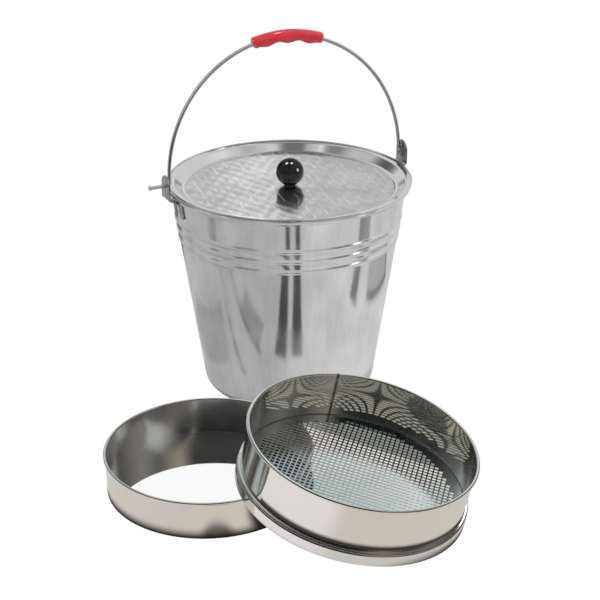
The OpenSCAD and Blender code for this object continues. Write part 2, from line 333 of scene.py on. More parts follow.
def prism(outline, low, high):
    """A scratch object: an outline in the XY plane given a height."""
    points = [(p[0], p[1]) for p in outline]
    return thicken("scratch", points, [list(range(len(points)))], low, high)


def boolean(obj, cutter, operation):
    """Applies a boolean of two meshes to the first and removes the second."""
    modifier = obj.modifiers.new("cut", "BOOLEAN")
    modifier.object = cutter
    modifier.operation = operation
    modifier.solver = "EXACT"
    bake_modifiers(obj)
    bpy.data.objects.remove(cutter)


def bake_modifiers(obj):
    """Replaces an object's mesh by what its modifiers make of it."""
    bpy.context.view_layer.update()
    graph = bpy.context.evaluated_depsgraph_get()
    mesh = bpy.data.meshes.new_from_object(obj.evaluated_get(graph))
    obj.modifiers.clear()
    obj.data = mesh


def joined(name, parts):
    """One object from several (vertices, faces) pairs, each with the matrix that places it."""
    vertices, faces = [], []
    for part_vertices, part_faces, matrix in parts:
        first = len(vertices)
        vertices += [matrix @ Vector(v) for v in part_vertices]
        faces += [[i + first for i in f] for f in part_faces]
    return new_object(name, vertices, faces)


def place(obj, matrix):
    """Puts an object drawn about the origin in its place."""
    obj.matrix_world = matrix
    return obj


# -------------------- node helpers

class Nodes:
    """Adds nodes to the tree of a material or the world. Values and colours come back as sockets."""

    def __init__(self, owner):
        owner.use_nodes = True
        self.tree = owner.node_tree
        self.tree.nodes.clear()

    def add(self, kind, **inputs):
        """A node of a kind, with inputs set by name from values or sockets."""
        node = self.tree.nodes.new(kind)
        for name, value in inputs.items():
            self.put(node.inputs[name.replace("_", " ")], value)
        return node

    def put(self, socket, value):
        """Links a socket to an input, or sets the input's value."""
        if isinstance(value, bpy.types.NodeSocket):
            self.tree.links.new(value, socket)
        elif isinstance(value, tuple) and len(value) == 3 and socket.type == "RGBA":
            socket.default_value = value + (1,)
        else:
            socket.default_value = value

    def math(self, operation, a, b=0.0):
        """A Math node."""
        node = self.add("ShaderNodeMath")
        node.operation = operation
        self.put(node.inputs[0], a)
        self.put(node.inputs[1], b)
        return node.outputs[0]

    def vector(self, operation, a, b=(0.0, 0.0, 0.0)):
        """A Vector Math node."""
        node = self.add("ShaderNodeVectorMath")
        node.operation = operation
        self.put(node.inputs[0], a)
        self.put(node.inputs[1], b)
        return node.outputs["Value" if operation in ("DOT_PRODUCT", "LENGTH") else "Vector"]

    def plus(self, a, b):
        """The sum of two numbers."""
        return self.math("ADD", a, b)

    def minus(self, a, b):
        """The difference of two numbers."""
        return self.math("SUBTRACT", a, b)

    def times(self, a, b):
        """The product of two numbers."""
        return self.math("MULTIPLY", a, b)

    def above(self, a, b):
        """1 where a is above b."""
        return self.math("GREATER_THAN", a, b)

    def below(self, a, b):
        """1 where a is below b."""
        return self.math("LESS_THAN", a, b)

    def dot(self, a, b):
        """The dot product of a vector and a fixed one."""
        return self.vector("DOT_PRODUCT", a, tuple(b))

    def scaled(self, vector, factor):
        """A vector or a colour times a number."""
        product = self.vector("SCALE", vector)
        self.put(product.node.inputs["Scale"], factor)
        return product

    def length(self, x, y):
        """The length of a flat vector."""
        return self.vector("LENGTH", self.join(x, y, 0.0))

    def ray(self, fact):
        """A fact about the ray that meets the surface."""
        return self.add("ShaderNodeLightPath").outputs[fact]

    def local_point(self):
        """The shaded point in its object's own coordinates."""
        return self.add("ShaderNodeTexCoord").outputs["Object"]

    def around(self, x, y):
        """How far round a direction is: 0.5 is towards the camera and 0.75 is to the right."""
        side = self.math("DIVIDE", self.math("ARCTAN2", x, self.times(y, -1.0)), 2 * math.pi)
        return self.plus(side, 0.5)

    def turned(self, x, y, angle):
        """A flat vector's parts along and across a direction at an angle in degrees."""
        c = math.cos(math.radians(angle))
        s = math.sin(math.radians(angle))
        along = self.plus(self.times(x, c), self.times(y, s))
        return along, self.minus(self.times(y, c), self.times(x, s))

    def finish(self, shader):
        """Links a shader to the tree's output."""
        out = self.add("ShaderNodeOutputMaterial")
        self.tree.links.new(shader.outputs[0], out.inputs[0])

    def split(self, vector):
        """The three parts of a vector."""
        node = self.add("ShaderNodeSeparateXYZ", Vector=vector)
        return node.outputs[0], node.outputs[1], node.outputs[2]

    def join(self, x, y, z):
        """A vector from three parts."""
        return self.add("ShaderNodeCombineXYZ", X=x, Y=y, Z=z).outputs[0]

    def smooth(self, value, low, high, out_low=0.0, out_high=1.0):
        """A smooth step from one value to another."""
        node = self.add("ShaderNodeMapRange")
        node.interpolation_type = "SMOOTHSTEP"
        for i, v in enumerate((value, low, high, out_low, out_high)):
            self.put(node.inputs[i], v)
        return node.outputs[0]

    def mix(self, share, a, b):
        """A mix of two colours."""
        node = self.add("ShaderNodeMix")
        node.data_type = "RGBA"
        self.put(node.inputs[0], share)
        self.put(node.inputs[6], a)
        self.put(node.inputs[7], b)
        return node.outputs[2]

    def blend(self, share, a, b):
        """A mix of two plain numbers."""
        node = self.add("ShaderNodeMix")
        self.put(node.inputs[0], share)
        self.put(node.inputs[2], a)
        self.put(node.inputs[3], b)
        return node.outputs[0]

    def ramp(self, value, stops):
        """A colour ramp through (position, colour) stops. A plain number stands for a grey."""
        node = self.add("ShaderNodeValToRGB")
        self.put(node.inputs[0], value)
        elements = node.color_ramp.elements
        while len(elements) < len(stops):
            elements.new(0.5)
        for element, (position, colour) in zip(elements, stops):
            element.position = position
            element.color = (colour if isinstance(colour, tuple) else grey(colour)) + (1,)
        return node.outputs[0]

    def noise(self, vector, scale, detail=2.0, rough=0.5):
        """A noise texture's value."""
        node = self.add("ShaderNodeTexNoise", Vector=vector, Scale=scale, Detail=detail, Roughness=rough)
        return node.outputs[0]

    def band(self, value, centre, half, soft):
        """1 where a value is within half of the centre, falling to 0 over the soft distance."""
        away = self.math("ABSOLUTE", self.minus(value, centre))
        return self.smooth(away, half + soft, half)

    def box_mask(self, x, y, patch):
        """1 inside a rectangle given as (x, y, half width, half depth, turn), with a soft edge."""
        middle_x, middle_y, half_x, half_y, angle = patch
        along, across = self.turned(self.minus(x, middle_x), self.minus(y, middle_y), angle)
        soft = min(half_x, half_y) * 0.35
        return self.times(self.band(along, 0, half_x, soft), self.band(across, 0, half_y, soft))

    def disc_mask(self, x, y, centre, radius, soft):
        """1 inside a circle, with a soft edge."""
        away = self.length(self.minus(x, centre[0]), self.minus(y, centre[1]))
        return self.smooth(away, radius + soft, radius)


def grey(value):
    """A grey colour."""
    return (value, value, value)


# -------------------- materials

def new_material(name):
    """A material and its empty node tree."""
    material = bpy.data.materials.new(name)
    return material, Nodes(material)


def finish_material(n, colour, roughness, metallic, normal, coat=0.0):
    """Ends a tree in a Principled shader."""
    shader = n.add("ShaderNodeBsdfPrincipled", Base_Color=colour, Roughness=roughness, Metallic=metallic)
    n.put(shader.inputs["IOR"], 1.5)
    n.put(shader.inputs["Coat Weight"], coat)
    n.put(shader.inputs["Normal"], normal)
    n.finish(shader)


def bump(n, height, distance):
    """A Bump node's normal."""
    return n.add("ShaderNodeBump", Height=height, Distance=distance, Strength=1.0).outputs[0]


def steel(name, colour, roughness, grain, grain_depth, smudge=0.06, seam=None):
    """Sheet steel with stretched grain and soft smudges. Grain is how fine the noise is along X, Y and Z.

    A seam is the angle about Z of a dark weld line and its half width in metres at the wall.
    """
    material, n = new_material(name)
    spot = n.local_point()
    lines = n.noise(n.vector("MULTIPLY", spot, grain), 1.0, 3.0, 0.6)
    patches = n.noise(spot, 14.0, 2.0, 0.5)
    tone = n.smooth(patches, 0.3, 0.7, 1 - smudge, 1.0)
    tone = n.times(tone, n.smooth(lines, 0.3, 0.7, 1 - 0.6 * smudge, 1.0))
    base = n.scaled(colour, tone)
    rough = n.plus(n.smooth(lines, 0.3, 0.7, -0.12 * roughness, 0.12 * roughness), roughness)
    rough = n.plus(rough, n.smooth(patches, 0.4, 0.8, 0.0, smudge))
    normal = bump(n, lines, grain_depth)
    if seam is not None:
        angle, half = seam
        x, y = n.split(spot)[:2]
        ahead, beside = n.turned(x, y, angle)
        ragged = n.plus(beside, n.smooth(n.noise(spot, 300.0), 0.3, 0.7, -half * 0.5, half * 0.5))
        line = n.times(n.band(ragged, 0.0, half, half * 3), n.above(ahead, 0.0))
        line = n.times(line, n.smooth(n.noise(spot, 60.0), 0.35, 0.6, 0.45, 0.9))
        base = n.mix(line, base, (0.05, 0.045, 0.05))
        rough = n.blend(line, rough, 0.5)
    finish_material(n, base, rough, 1.0, normal)
    return material


def lid_steel():
    """Steel whose sunken disc is finely embossed: pebbles, and short raised dashes in slanted columns,
    which get a painted highlight in the base colour.
    """
    material, n = new_material("lid_steel")
    spot = n.local_point()
    x, y = n.split(spot)[:2]
    radius = n.length(x, y)
    on_disc = n.smooth(radius, LID_DISC_R - 1 * MM, LID_DISC_R - 3 * MM)
    line_pitch = 19 * MM
    quilt_pitch = 30 * MM
    lean = 17
    wobble = n.smooth(n.noise(spot, 26.0, 1.0), 0.3, 0.7, -0.6 * MM, 0.6 * MM)
    across, along = n.turned(x, y, lean)
    across = n.plus(across, wobble)
    column = n.math("DIVIDE", across, line_pitch / 2)
    in_column = n.minus(n.math("FRACT", column), 0.5)
    main_line = n.above(n.math("FLOORED_MODULO", column, 2.0), 1.0)
    thick = n.blend(main_line, 0.35, 1.0)
    dash_spot = n.vector("MULTIPLY", n.join(n.math("FLOOR", column), along, 0.0), (3.1, 60.0, 1.0))
    gaps = n.noise(dash_spot, 1.0, 0.0)
    dash = n.times(n.band(in_column, 0.0, 0.025, 0.06), n.smooth(gaps, 0.50, 0.55))
    dash = n.times(dash, thick)
    pillow_a = n.math("COSINE", n.times(across, 2 * math.pi / line_pitch))
    pillow_b = n.math("COSINE", n.times(along, 2 * math.pi / quilt_pitch))
    pillow = n.times(pillow_a, pillow_b)
    pebbles = n.noise(n.vector("MULTIPLY", spot, (1.0, 0.4, 1.0)), 300.0, 2.0, 0.6)
    waves = n.noise(n.vector("MULTIPLY", spot, (1.0, 0.8, 1.0)), 45.0, 2.0, 0.6)
    height = n.plus(n.times(pebbles, 0.35), n.times(dash, 0.8))
    height = n.plus(height, n.times(waves, 1.6))
    height = n.plus(height, n.times(pillow, 0.5))
    dents = n.noise(spot, 22.0, 1.0, 0.5)
    height = n.plus(n.times(height, on_disc), n.times(dents, 0.9))
    normal = bump(n, height, 0.16 * MM)
    patches = n.noise(spot, 30.0, 3.0)
    # Painted highlight: the raised dashes, and faintly the pillow crests, are made lighter in the base
    # colour as though they catch the light; the disc's base is kept darker than the flange's to set them
    # off.
    tone = n.smooth(patches, 0.3, 0.7, 0.54, 0.66)
    tone = n.plus(tone, n.times(n.times(dash, on_disc), 0.42))
    tone = n.plus(tone, n.times(n.times(pillow, on_disc), 0.03))
    flange_tone = n.smooth(patches, 0.3, 0.7, 0.80, 0.84)
    tone = n.blend(on_disc, flange_tone, tone)
    colour = n.join(tone, tone, n.times(tone, 1.01))
    rough = n.blend(on_disc, 0.10, 0.17)
    finish_material(n, colour, rough, 1.0, normal)
    return material


def plastic(name, colour, roughness, grain=0.02, coat=0.0):
    """Moulded plastic with a faint grain."""
    material, n = new_material(name)
    spot = n.local_point()
    cloud = n.noise(spot, 90.0, 3.0)
    tint = n.scaled(colour, n.smooth(cloud, 0.3, 0.7, 0.92, 1.05))
    rough = n.smooth(cloud, 0.2, 0.8, roughness * 0.85, roughness * 1.15)
    normal = bump(n, n.noise(spot, 900.0, 2.0), grain * MM)
    finish_material(n, tint, rough, 0.0, normal, coat)
    return material


def brass(name, colour):
    """Turned brass with fine rings."""
    material, n = new_material(name)
    spot = n.local_point()
    lines = n.noise(n.vector("MULTIPLY", spot, (40.0, 40.0, 3000.0)), 1.0)
    rough = n.smooth(lines, 0.3, 0.7, 0.2, 0.34)
    finish_material(n, colour, rough, 1.0, bump(n, lines, 0.01 * MM))
    return material


FINE = 0.01 * MM
RING_SEAM = (63, 0.35 * MM)
SIEVE_SEAM = (102, 0.7 * MM)
PAIL_STEEL = steel("pail_steel", (0.84, 0.84, 0.85), 0.09, (110.0, 110.0, 3.0), 4 * FINE, 0.13)
WIRE_STEEL = steel("wire_steel", (0.66, 0.66, 0.67), 0.25, (200.0, 200.0, 200.0), FINE)
# Painted shade: the ears' steel is darker than the other steel, standing for the darker reflections the
# ears show.
EAR_STEEL = steel("ear_steel", (0.44, 0.44, 0.45), 0.22, (150.0, 150.0, 60.0), 2 * FINE)
RIVET_STEEL = steel("rivet_steel", (0.78, 0.78, 0.78), 0.2, (200.0, 200.0, 200.0), FINE)
BAIL_STEEL = steel("bail_steel", (0.72, 0.72, 0.73), 0.2, (60.0, 60.0, 60.0), 2 * FINE)
SCREW_STEEL = steel("screw_steel", (0.7, 0.7, 0.7), 0.25, (300.0, 300.0, 40.0), FINE)
RING_STEEL = steel("ring_steel", (0.88, 0.86, 0.83), 0.17, (9.0, 9.0, 30.0), FINE / 5, 0.03, RING_SEAM)
SIEVE_STEEL = steel("sieve_steel", (0.88, 0.865, 0.84), 0.05, (9.0, 9.0, 40.0), FINE / 5, 0.02, SIEVE_SEAM)
PLATE_STEEL = steel("plate_steel", (0.62, 0.66, 0.66), 0.16, (50.0, 50.0, 50.0), FINE)
LID_STEEL = lid_steel()
RED_GRIP = plastic("red_grip", (0.58, 0.02, 0.042), 0.28, 0.01, 0.4)
BLACK_KNOB = plastic("black_knob", (0.006, 0.006, 0.007), 0.07, 0.002, 0.6)
BLACK_COLLAR = plastic("black_collar", (0.012, 0.012, 0.012), 0.35)
BRASS_INSERT = brass("brass_insert", (0.78, 0.58, 0.25))


def coat_with(obj, material):
    """Gives an object its material."""
    obj.data.materials.clear()
    obj.data.materials.append(material)


def dress(obj, material, body, replaces=None):
    """Gives a piece its material and body, and hides the CAD node it stands for."""
    coat_with(obj, material)
    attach(obj, body)
    if replaces:
        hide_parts(replaces)


def dress_node(node, material):
    """Gives a CAD node that stays in view its material, with smooth faces."""
    obj = frame["nodes"][node]
    coat_with(obj, material)
    smooth_faces(obj.data, 30)


# -------------------- pail

def pail_r(z):
    """The outer radius of the pail's plain wall at a height."""
    return PAIL_BASE_R + (PAIL_TOP_R - PAIL_BASE_R) * z / PAIL_ROLL_Z


def rib_point(rib, step):
    """A point of the wall's middle line, at a step from -1 to 1 across a rib."""
    z = RIB_TOP_Z - rib * RIB_PITCH + step * RIB_HALF
    lift = RIB_LIFT * (1 + math.cos(math.pi * step)) / 2
    return Vector((pail_r(z) - SHEET / 2 + lift, z))


def build_pail():
    """The pail's shell, with its ribs, rounded corner and rolled rim."""
    slope = math.radians(PAIL_SLOPE)
    corner_z = PAIL_CORNER_R + SHEET / 2
    corner_x = PAIL_BASE_R - SHEET / 2 + (corner_z * math.sin(slope) - PAIL_CORNER_R) / math.cos(slope)
    path = [(0, SHEET / 2), (corner_x * 0.5, SHEET / 2)]
    path += arc((corner_x, corner_z), PAIL_CORNER_R, -90, -PAIL_SLOPE, 14)
    for rib in reversed(range(RIB_COUNT)):
        path += [rib_point(rib, step / 6) for step in range(-6, 7)]
    path += rolled_rim((PAIL_ROLL_X, PAIL_ROLL_Z), PAIL_ROLL_R)
    shell = lathe("pail_shell_visual", sheet_outline(path, SHEET))
    dress(shell, PAIL_STEEL, "pail", replaces="pail_shell")
    dress_node("pail_rim_wire", WIRE_STEEL)


def ear_side(side):
    """The turn that puts a piece drawn for the right side on a side: 0 is right, 180 is left."""
    return turn("Z", EAR_TURN + side)


def build_ear(name, side):
    """One ear: a stamped plate bent out round the rim, with the bail's hole."""
    slope = math.radians(PAIL_SLOPE)
    stand_off = 0.05 * MM + EAR_T / 2 / math.cos(slope)
    low = EAR_TAB_BOTTOM - 1 * MM
    path = [(pail_r(low) + stand_off, low), (pail_r(EAR_TAB_TOP) + stand_off, EAR_TAB_TOP)]
    path += [(EAR_X, EAR_BEND_Z), (EAR_X, PIVOT.z + EAR_W)]
    ear = prism(sheet_outline(path, EAR_T), -EAR_W, EAR_W)
    ear.data.transform(turn("X", 90))
    half = EAR_W / 2
    tab = EAR_TAB_W / 2
    corner = EAR_TAB_CORNER
    silhouette = arc((0, PIVOT.z), half, 0, 180, 32)
    silhouette += [(-half, EAR_BEND_Z - corner), (-tab, EAR_TAB_TOP)]
    silhouette += arc((corner - tab, EAR_TAB_BOTTOM + corner), corner, 180, 270, 6)
    silhouette += arc((tab - corner, EAR_TAB_BOTTOM + corner), corner, 270, 360, 6)
    silhouette += [(tab, EAR_TAB_TOP), (half, EAR_BEND_Z - corner)]
    hole = arc((0, PIVOT.z), EAR_HOLE_R, 0, 352.5, 47)
    for outline, operation in ((silhouette, "INTERSECT"), (hole, "DIFFERENCE")):
        cutter = prism(outline, EAR_STAMP_FROM, EAR_STAMP_TO)
        cutter.data.transform(turn("Z", 90) @ turn("X", 90))
        boolean(ear, cutter, operation)
    bevel = ear.modifiers.new("edges", "BEVEL")
    bevel.width = 0.35 * MM
    bevel.segments = 2
    bevel.limit_method = "ANGLE"
    bevel.angle_limit = math.radians(40)
    bake_modifiers(ear)
    smooth_faces(ear.data, 50)
    ear.name = name + "_visual"
    ear.data.transform(ear_side(side))
    dress(ear, EAR_STEEL, "pail", replaces=name)


def rivet_parts():
    """Vertices and faces of one rivet, with +Z pointing out of the pail."""
    outer = EAR_T + RIVET_CLEARANCE
    inner = -SHEET - RIVET_CLEARANCE
    back_r = RIVET_HEAD_R * 0.8
    outline = [(0, inner - RIVET_HEAD_H), (back_r, inner - RIVET_HEAD_H), (back_r, inner)]
    outline += [(RIVET_SHANK_R, inner), (RIVET_SHANK_R, outer)]
    for across, up in arc((0, 0), 1, 0, 90, 8):
        outline.append((RIVET_HEAD_R * across, outer + RIVET_HEAD_H * up))
    return lathe_parts(outline, 32)


def build_rivets(name, side):
    """The two rivets that hold an ear."""
    vertices, faces = rivet_parts()
    parts = []
    for z in RIVET_ZS:
        spot = Matrix.Translation(Vector((pail_r(z), 0, z)))
        parts.append((vertices, faces, ear_side(side) @ spot @ turn("Y", 90 + PAIL_SLOPE)))
    dress(joined(name + "_visual", parts), RIVET_STEEL, "pail", replaces=name)


# -------------------- bail

BAIL_PLACE = Matrix.Translation(PIVOT) @ turn("Z", EAR_TURN) @ turn("X", -BAIL_LEAN)


def half_bail(end):
    """Half the bail's middle line, from its top to its end, and the wire's radius at each point."""
    points = arc((0, ARCH_LIFT), ARCH_R, 90, 0, 72)
    points += arc((BAIL_HALF + BAIL_BEND_R, BAIL_BEND_R), BAIL_BEND_R, 180, 270, 10)
    radii = [BAIL_WIRE_R] * len(points)
    # The upset head at the end: how far back, and the share of the head's radius.
    for back, share in ((2.4, BAIL_WIRE_R / STUB_HEAD_R), (1.9, 1), (0.8, 1), (0, 0.75)):
        points.append(Vector((end - back * MM, 0)))
        radii.append(share * STUB_HEAD_R)
    return points, radii


def bail_path():
    """The bail's middle line from its left end to its right end, and the wire's radius at each point."""
    right, right_radii = half_bail(BAIL_RIGHT_END)
    left, left_radii = half_bail(BAIL_LEFT_END)
    mirrored = [Vector((-p.x, p.y)) for p in reversed(left[1:])]
    return mirrored + right, left_radii[:0:-1] + right_radii


def build_bail():
    """The bail's wire, whose ends pass outwards through the ears, and its grip."""
    points, radii = bail_path()
    sides = [2 * math.pi * k / 24 for k in range(24)]
    sections = [[(r * math.cos(a), r * math.sin(a)) for a in sides] for r in radii]
    wire = place(sweep("bail_wire_visual", points, sections), BAIL_PLACE)
    dress(wire, BAIL_STEEL, "bail", replaces="bail_wire")
    build_grip()


def build_grip():
    """The grip: an arched handle with finger scallops underneath and a small gate mark on its front."""
    steps = 96
    first = 90 - GRIP_SLID + GRIP_HALF_ANGLE
    arch = arc((0, ARCH_LIFT), ARCH_R, first, first - 2 * GRIP_HALF_ANGLE, steps)
    length = math.radians(2 * GRIP_HALF_ANGLE) * ARCH_R
    points, sections = [], []
    for i, point in enumerate(arch):
        share = i / steps
        from_end = min(share, 1 - share) * length
        round_off = min(1.0, 0.86 + 0.14 * math.sqrt(min(1.0, from_end / (2.2 * MM))))
        wave = math.cos(2 * math.pi * (share - SCALLOP_SHIFT) / SCALLOP_PITCH)
        scallop = SCALLOP_DEPTH * (0.5 + 0.5 * wave)
        section = []
        for k in range(48):
            a = 2 * math.pi * k / 48
            x, y = superellipse(a, GRIP_OUT, GRIP_IN - scallop, GRIP_SIDE, 2.4)
            section.append((x * round_off, y * round_off))
        points.append(point)
        sections.append(section)
    grip = place(sweep("bail_grip_visual", points, sections, 50), BAIL_PLACE)
    dress(grip, RED_GRIP, "bail", replaces="bail_grip")
    mark_r = 1.5 * MM
    outline = [(0, -1 * MM), (mark_r, -1 * MM), (mark_r, 0.15 * MM)]
    outline += [(mark_r * 0.7, 0.3 * MM), (0, 0.3 * MM)]
    mark = lathe("bail_grip_gate_mark", outline, 32)
    slid = math.radians(GRIP_SLID)
    along = ARCH_R * math.sin(slid)
    spot = Matrix.Translation(Vector((along, -GRIP_SIDE, ARCH_LIFT + ARCH_R * math.cos(slid))))
    place(mark, BAIL_PLACE @ spot @ turn("X", 90))
    dress(mark, RED_GRIP, "bail")


# -------------------- lid and knob

def build_lid():
    """The lid's pan: flat flange with an upturned hem, a slope, and the sunken disc."""
    disc_z = LID_Z - LID_DEPTH
    slope = math.radians(LID_SLOPE)
    rise = LID_DEPTH - 2 * LID_FILLET * (1 - math.cos(slope))
    flange_in = LID_DISC_R + 2 * LID_FILLET * math.sin(slope) + rise / math.tan(slope)
    path = [(0, disc_z), (LID_DISC_R * 0.5, disc_z)]
    path += arc((LID_DISC_R, disc_z + LID_FILLET), LID_FILLET, -90, LID_SLOPE - 90, 10)
    path += arc((flange_in, LID_Z - LID_FILLET), LID_FILLET, 90 + LID_SLOPE, 90, 10)
    path += arc((LID_R - LID_HEM_R - LID_T / 2, LID_Z + LID_HEM_R), LID_HEM_R, -90, 100, 16)
    pan = place(lathe("lid_pan_visual", sheet_outline(path, LID_T)), Matrix.Translation(LID_MIDDLE))
    dress(pan, LID_STEEL, "lid", replaces="lid_pan")


def build_knob():
    """The ball knob and the short collar under it."""
    tilt = math.degrees(math.asin(KNOB_FLAT_R / KNOB_R))
    outline = [(0, KNOB_FLAT_Z + 0.3 * MM), (KNOB_FLAT_R - 0.6 * MM, KNOB_FLAT_Z)]
    outline += arc((0, KNOB_Z), KNOB_R, tilt - 90, 90, 48)[:-1]
    outline.append((0, KNOB_Z + KNOB_R))
    spot = Matrix.Translation(LID_MIDDLE)
    knob = place(lathe("lid_knob_visual", outline, 96), spot)
    dress(knob, BLACK_KNOB, "lid", replaces="lid_knob")
    low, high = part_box("knob_collar")
    collar_r = size("knob_collar").x / 2
    chamfer = 0.3 * MM
    outline = [(KNOB_BORE_R, low.z), (collar_r, low.z), (collar_r, high.z - chamfer)]
    outline += [(collar_r - chamfer, high.z), (KNOB_BORE_R, high.z)]
    collar = place(lathe("knob_collar_visual", outline, 96), spot)
    dress(collar, BLACK_COLLAR, "lid", replaces="knob_collar")
    dress_node("knob_insert", BRASS_INSERT)
    dress_node("knob_screw", SCREW_STEEL)
    dress_node("knob_washer", WIRE_STEEL)


# -------------------- ring and sieve

def build_ring():
    """The plain ring: a short band with a rolled rim."""
    path = [(RING_WALL_R - SHEET / 2, 0)] + rolled_rim((RING_ROLL_X, RING_ROLL_Z), RING_ROLL_R)
    band = place(lathe("ring_band_visual", sheet_outline(path, SHEET)), Matrix.Translation(RING_MIDDLE))
    dress(band, RING_STEEL, "ring", replaces="ring_band")
    dress_node("ring_rim_wire", WIRE_STEEL)


def sieve_piece(node, outline):
    """A steel piece spun about the sieve's own axis. It stands for a CAD node."""
    piece = place(lathe(node + "_visual", outline), SIEVE_PLACE)
    dress(piece, SIEVE_STEEL, "sieve", replaces=node)


def build_sieve():
    """The sieve's wall, seam ring and skirt."""
    bend_x = FOOT_R - FOOT_REACH + FOOT_FILLET
    wall = [(FOOT_R, FOOT_Z)] + arc((bend_x, FOOT_Z + FOOT_FILLET), FOOT_FILLET, -90, -180, 10)
    wall += rolled_rim((SIEVE_ROLL_X, SIEVE_ROLL_Z), SIEVE_ROLL_R)
    sieve_piece("sieve_wall", sheet_outline(wall, SHEET))
    seam_in = FOOT_R + 0.15 * MM
    seam_z = PLATE_Z + SEAM_HALF
    seam = [(seam_in, seam_z + SEAM_HALF)]
    seam += arc((seam_in + 0.3 * MM, seam_z), SEAM_HALF, 90, -90, 16)
    seam.append((seam_in, seam_z - SEAM_HALF))
    sieve_piece("seam_ring", seam)
    skirt_middle = SKIRT_R - SHEET / 2
    skirt = [(skirt_middle, 0)]
    skirt += arc((skirt_middle - SKIRT_FILLET, SKIRT_FLANGE_Z - SKIRT_FILLET), SKIRT_FILLET, 0, 90, 12)
    skirt.append((SKIRT_FLANGE_R, SKIRT_FLANGE_Z))
    sieve_piece("skirt_ring", sheet_outline(skirt, SHEET))
    dress_node("sieve_rim_wire", WIRE_STEEL)
    build_plate()


def perforated_cells():
    """The lattice cells whose hole lies in the perforated zone."""
    reach = int(HOLE_ZONE_R / HOLE_PITCH)
    cells = []
    for i in range(-reach, reach + 1):
        for j in range(-reach, reach + 1):
            if math.hypot(i, j) * HOLE_PITCH + HOLE_W * 0.7 < HOLE_ZONE_R:
                cells.append((i, j))
    return cells


def boundary_loop(edges):
    """The corners of a closed loop of directed edges, in order."""
    after = dict(edges)
    start = edges[0][0]
    loop = [start]
    while after[loop[-1]] != start:
        loop.append(after[loop[-1]])
    return loop


def build_plate():
    """The perforated plate: square holes in a square lattice, with a blank border."""
    points, faces, index = [], [], {}

    def corner(i, j):
        """The number of the lattice corner at the lower left of cell i, j."""
        if (i, j) not in index:
            index[(i, j)] = len(points)
            points.append(((i - 0.5) * HOLE_PITCH, (j - 0.5) * HOLE_PITCH))
        return index[(i, j)]

    edges = []
    cells = perforated_cells()
    inside = set(cells)
    for i, j in cells:
        outer = [corner(i, j), corner(i + 1, j), corner(i + 1, j + 1), corner(i, j + 1)]
        first = len(points)
        for sx, sy in ((-0.5, -0.5), (0.5, -0.5), (0.5, 0.5), (-0.5, 0.5)):
            points.append((i * HOLE_PITCH + sx * HOLE_W, j * HOLE_PITCH + sy * HOLE_W))
        beside = ((i, j - 1), (i + 1, j), (i, j + 1), (i - 1, j))
        for k in range(4):
            m = (k + 1) % 4
            faces.append([outer[k], outer[m], first + m, first + k])
            if beside[k] not in inside:
                edges.append((outer[k], outer[m]))
    loop = boundary_loop(edges)
    edge_r = FOOT_R - 0.05 * MM
    rim = []
    for k in range(SEGMENTS):
        a = 2 * math.pi * k / SEGMENTS
        rim.append(len(points))
        points.append((edge_r * math.cos(a), edge_r * math.sin(a)))
    both = rim + loop
    rings = [[Vector((points[i][0], points[i][1], 0)) for i in ring] for ring in (rim, loop)]
    faces += [[both[i] for i in triangle] for triangle in tessellate_polygon(rings)]
    plate = thicken("perforated_plate_visual", points, faces, PLATE_Z, PLATE_Z + SHEET)
    plate.data.transform(turn("Z", HOLE_TURN))
    place(plate, SIEVE_PLACE)
    dress(plate, PLATE_STEEL, "sieve", replaces="perforated_plate")


# -------------------- studio

# Patches of the studio floor that the pail's wall mirrors.
# Each has its middle, half sizes and turn, and how dark it is.
PAIL_FLOOR_PATCHES = (
    ((-0.012, -0.42, 0.017, 0.21, 4), 0.85),
    ((0.062, -0.42, 0.017, 0.21, 9), 0.85),
    ((-0.26, -0.130, 0.15, 0.004, -1), 0.40),
    ((-0.24, -0.193, 0.15, 0.004, 0), 0.40),
    ((-0.155, -0.215, 0.05, 0.022, 0), 0.35),
    ((-0.22, 0.03, 0.05, 0.12, 0), 0.22),
    ((0.365, 0.09, 0.065, 0.105, 0), 0.32),
    ((0.305, 0.09, 0.009, 0.11, 0), 0.45),
    ((0.37, 0.195, 0.07, 0.009, 0), 0.45),
    ((0.34, -0.12, 0.07, 0.02, 0), 0.72),
    ((-0.26, 0.56, 0.14, 0.16, 0), 0.75),
    ((-0.52, -0.16, 0.05, 0.04, 15), 0.55),
    ((0.53, -0.15, 0.05, 0.06, -15), 0.65),
)

# The greys that the pail mirrors just above the floor, all round.
# 0 is behind, 0.5 is towards the camera and 0.75 is to the right.
PAIL_LOW_SKY = (
    (0.00, 0.28), (0.10, 0.30), (0.16, 0.52), (0.34, 0.48), (0.36, 0.20),
    (0.41, 0.24), (0.43, 0.52), (0.60, 0.58), (0.625, 0.22), (0.67, 0.22),
    (0.69, 0.75), (0.73, 0.20), (0.75, 0.95), (0.84, 0.55), (0.90, 0.30),
)

# The greys that the pail mirrors overhead, from the left at 0 to the right at 1.
PAIL_CEILING = (
    (0.16, 0.30), (0.22, 0.62), (0.27, 0.22), (0.31, 0.24), (0.36, 0.62), (0.41, 0.50),
    (0.44, 0.16), (0.53, 0.18), (0.58, 0.70), (0.70, 0.45), (0.78, 0.75),
)

# Lamps over the pail: direction, angular radius, brightness.
PAIL_LAMPS = (
    ((0.20, -0.22, 0.955), 2.2, 0.3),
    ((-0.32, -0.12, 0.94), 1.6, 0.45),
    ((0.29, 0.17, 0.94), 1.6, 0.5),
    ((0.92, -0.32, 0.21), 3.0, 1.5),
    ((-0.03, 0.948, 0.317), 0.55, 2.5),
    ((-0.25, -0.25, 0.934), 1.2, 0.45),
    ((-0.57, 0.0, 0.82), 1.6, 1.6),
    ((-0.66, 0.15, 0.73), 1.4, 1.6),
    ((0.62, 0.14, 0.77), 3.0, 0.35),
)

# Lamps that only the ball knob mirrors.
KNOB_LAMPS = (
    ((-0.32, 0.13, 0.94), 6.0, 14.0),
    ((0.19, 0.13, 0.97), 6.0, 14.0),
    ((0.92, -0.24, 0.32), 7.0, 7.0),
)

